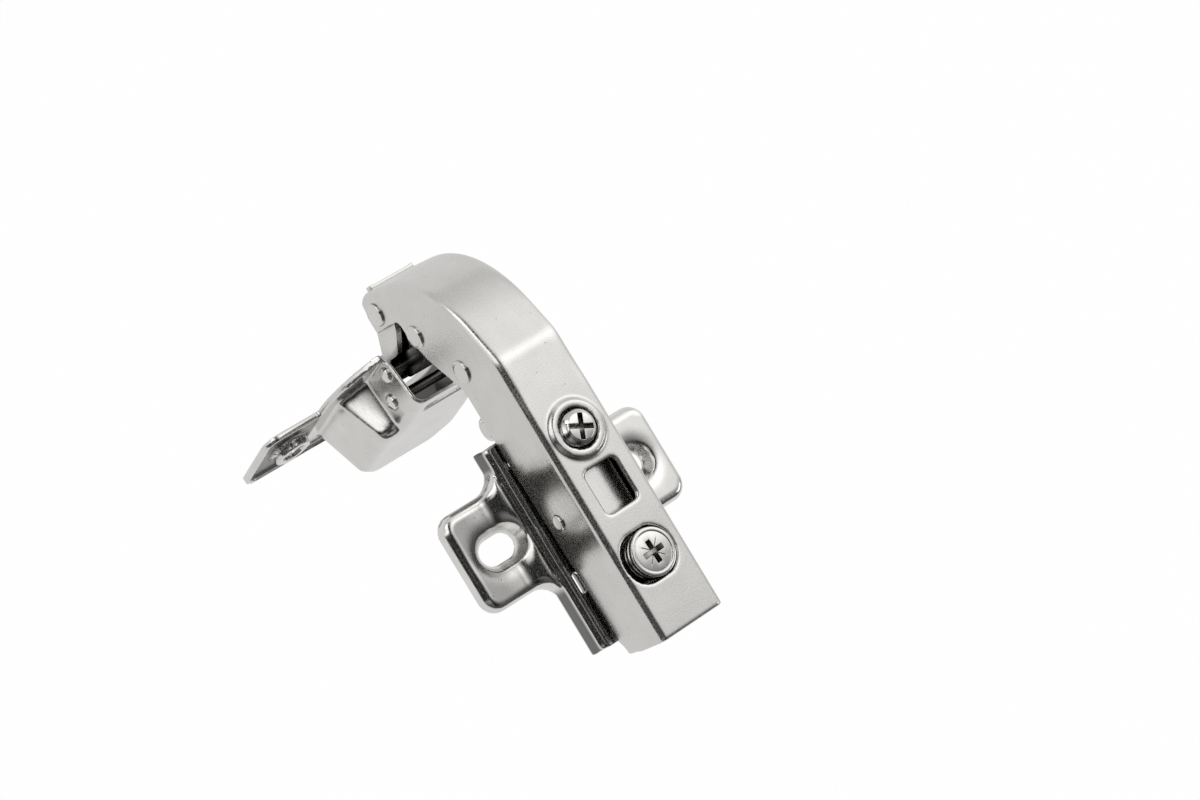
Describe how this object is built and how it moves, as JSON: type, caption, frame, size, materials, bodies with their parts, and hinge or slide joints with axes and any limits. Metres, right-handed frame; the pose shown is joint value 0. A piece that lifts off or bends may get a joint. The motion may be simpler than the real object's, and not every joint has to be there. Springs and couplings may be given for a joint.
{
  "type": "concealed cabinet hinge",
  "caption": "Soft-closing clip-on concealed cabinet hinge with a hooked arm, round-flanged cup and winged mounting plate, shown wide open.",
  "frame": {"origin": "midway between the two fixing slots, on the face that the mounting plate is screwed to", "axes": "+Z stands off that face, +X runs back along the arm away from the cup, +Y completes the right hand; the two slots lie on Y"},
  "size_m": [0.0821, 0.0618, 0.0698],
  "materials": {
    "satin_nickel_steel": "satin nickel plate",
    "bright_nickel_steel": "bright nickel plate",
    "spring_wire": "bright drawn wire",
    "black_plastic": "satin",
    "ribbed_grey_steel": "satin, ribbed"
  },
  "bodies": {
    "fixed_base": {"mounting_plate": "bright_nickel_steel", "clip_base": "bright_nickel_steel", "hook_studs": "bright_nickel_steel", "lever_pin": "bright_nickel_steel", "lever_spring": "spring_wire", "damper_cylinder": "black_plastic"},
    "tilt_pin": {"tilt_rivet": "bright_nickel_steel"},
    "arm": {"arm_channel": "satin_nickel_steel", "tip_rivet": "bright_nickel_steel", "link_rivet": "bright_nickel_steel", "stop_rivet": "bright_nickel_steel", "arm_liner": "black_plastic", "rear_guide_block": "black_plastic", "link_spring": "spring_wire"},
    "cover_screw": {"overlay_screw": "bright_nickel_steel"},
    "depth_cam": {"depth_cam_screw": "bright_nickel_steel"},
    "inner_link": {"inner_link_plates": "bright_nickel_steel", "link_rollers": "black_plastic"},
    "outer_link": {"outer_link": "bright_nickel_steel"},
    "cup": {"hinge_cup": "bright_nickel_steel", "cup_u_pin": "spring_wire"},
    "lever": {"release_lever": "ribbed_grey_steel"},
    "plunger": {"damper_plunger": "bright_nickel_steel"}
  },
  "joints": [
    {"name": "depth_setting", "type": "slide", "parent": "fixed_base", "child": "tilt_pin", "axis": [1, 0, 0], "range_m": [-0.00064, 0.00064]},
    {"name": "cover_setting", "type": "hinge", "parent": "tilt_pin", "child": "arm", "pos_m": [0.0016, 0, 0.02015], "axis": [0, 1, 0], "range_deg": [-2, 2]},
    {"name": "cover_screw_turn", "type": "hinge", "parent": "tilt_pin", "child": "cover_screw", "pos_m": [-0.0114, 0, 0.015], "axis": [0, 0, 1], "range_deg": [-204.5, 204.5]},
    {"name": "depth_cam_turn", "type": "hinge", "parent": "fixed_base", "child": "depth_cam", "pos_m": [0.01445, -0.0009, 0.015], "axis": [0, 0, 1], "range_deg": [-46, 46]},
    {"name": "link_swing", "type": "hinge", "parent": "arm", "child": "inner_link", "pos_m": [-0.0408, 0, 0.0004], "axis": [0, -1, 0], "range_deg": [0, 62.6], "deforming": ["link_spring"]},
    {"name": "cup_swing", "type": "hinge", "parent": "inner_link", "child": "cup", "pos_m": [-0.03799, 0, -0.0155], "axis": [0, 1, 0], "range_deg": [0, 163]},
    {"name": "outer_link_swing", "type": "hinge", "parent": "arm", "child": "outer_link", "pos_m": [-0.0483, 0, -0.0082], "axis": [0, -1, 0], "range_deg": [0, 35.2]},
    {"name": "release_press", "type": "hinge", "parent": "fixed_base", "child": "lever", "pos_m": [0.0215, 0, 0.0115], "axis": [0, 1, 0], "range_deg": [0, 10], "stiffness_Nm_per_rad": 0.02, "springref_deg": -11.46, "deforming": ["lever_spring"]},
    {"name": "damper_press", "type": "slide", "parent": "fixed_base", "child": "plunger", "axis": [1, 0, 0], "range_m": [0, 0.00302]}
  ],
  "couplings": [
    {"joint": "cover_screw_turn", "follows": "cover_setting", "ratio": 102},
    {"joint": "depth_cam_turn", "follows": "depth_setting", "rad_per_m": -1234},
    {"joint": "cup_swing", "follows": "link_swing", "ratio": 2.5974},
    {"joint": "outer_link_swing", "follows": "link_swing", "ratio": 0.5575},
    {"joint": "damper_press", "follows": "link_swing", "m_per_rad": 0.002746}
  ]
}
